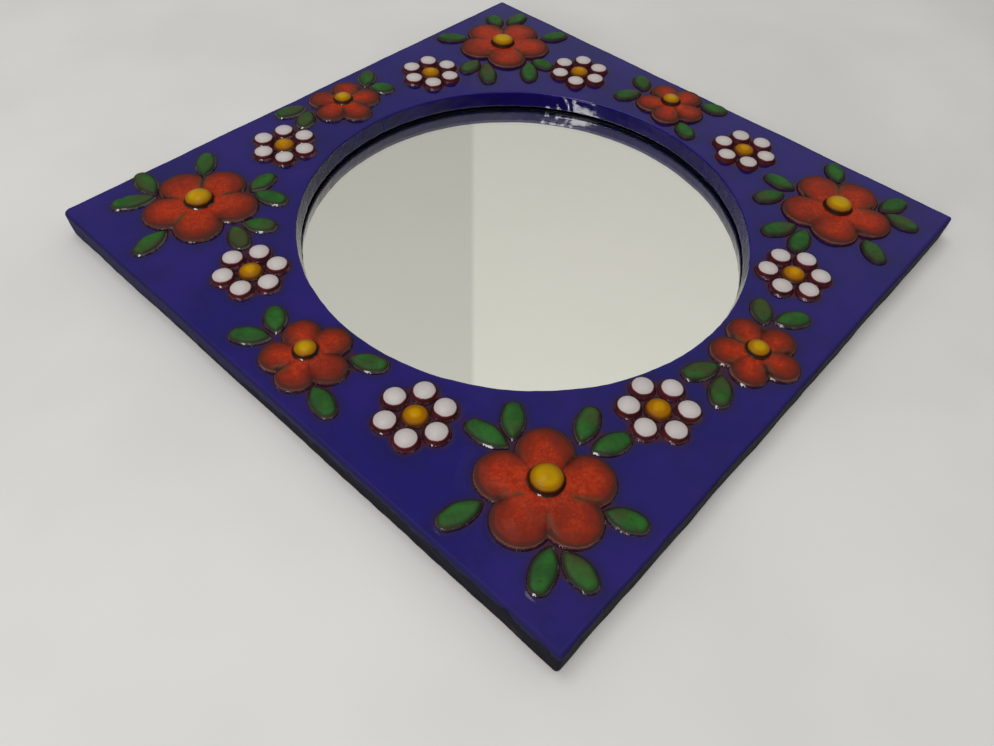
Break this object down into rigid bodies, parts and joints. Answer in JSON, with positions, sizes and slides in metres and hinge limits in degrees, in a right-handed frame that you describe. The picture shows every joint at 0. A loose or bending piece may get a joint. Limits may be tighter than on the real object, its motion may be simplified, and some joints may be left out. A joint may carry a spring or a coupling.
{
  "type": "ceramic wall mirror",
  "caption": "Square glazed-ceramic wall mirror: round glass recessed in a slab with raised flowers, leaves and daisies, and a wire hanging loop that folds into its back.",
  "frame": {"origin": "middle of the back face, on the plane that lies against the wall", "axes": "+Z out of the mirror's front, +Y to the top as it hangs, +X to the right seen from the front"},
  "size_m": [0.2998, 0.2998, 0.0187],
  "materials": {
    "blue_glaze": "glossy",
    "red_glaze": "glossy",
    "yellow_glaze": "glossy",
    "green_glaze": "glossy",
    "white_glaze": "glossy",
    "silvered_glass": "mirror",
    "putty": "matte",
    "board": "matte",
    "steel_wire": "satin"
  },
  "bodies": {
    "mirror": {"backing_board": "board", "corner_button_lower_left": "yellow_glaze", "corner_button_lower_right": "yellow_glaze", "corner_button_upper_left": "yellow_glaze", "corner_button_upper_right": "yellow_glaze", "corner_flower_lower_left": "red_glaze", "corner_flower_lower_right": "red_glaze", "corner_flower_upper_left": "red_glaze", "corner_flower_upper_right": "red_glaze", "corner_leaves_lower_left": "green_glaze", "corner_leaves_lower_right": "green_glaze", "corner_leaves_upper_left": "green_glaze", "corner_leaves_upper_right": "green_glaze", "daisy_centre_bottom_left": "yellow_glaze", "daisy_centre_bottom_right": "yellow_glaze", "daisy_centre_left_lower": "yellow_glaze", "daisy_centre_left_upper": "yellow_glaze", "daisy_centre_right_lower": "yellow_glaze", "daisy_centre_right_upper": "yellow_glaze", "daisy_centre_top_left": "yellow_glaze", "daisy_centre_top_right": "yellow_glaze", "daisy_petals_bottom_left": "white_glaze", "daisy_petals_bottom_right": "white_glaze", "daisy_petals_left_lower": "white_glaze", "daisy_petals_left_upper": "white_glaze", "daisy_petals_right_lower": "white_glaze", "daisy_petals_right_upper": "white_glaze", "daisy_petals_top_left": "white_glaze", "daisy_petals_top_right": "white_glaze", "frame_slab": "blue_glaze", "mirror_glass": "silvered_glass", "setting_putty": "putty", "side_button_bottom": "yellow_glaze", "side_button_left": "yellow_glaze", "side_button_right": "yellow_glaze", "side_button_top": "yellow_glaze", "side_flower_bottom": "red_glaze", "side_flower_left": "red_glaze", "side_flower_right": "red_glaze", "side_flower_top": "red_glaze", "side_leaves_bottom": "green_glaze", "side_leaves_left": "green_glaze", "side_leaves_right": "green_glaze", "side_leaves_top": "green_glaze"},
    "loop": {"hanging_loop": "steel_wire"}
  },
  "joints": [
    {"name": "loop_hinge", "type": "hinge", "parent": "mirror", "child": "loop", "pos_m": [0, 0.1225, 0.0032], "axis": [-1, 0, 0], "range_deg": [-15, 105]}
  ]
}
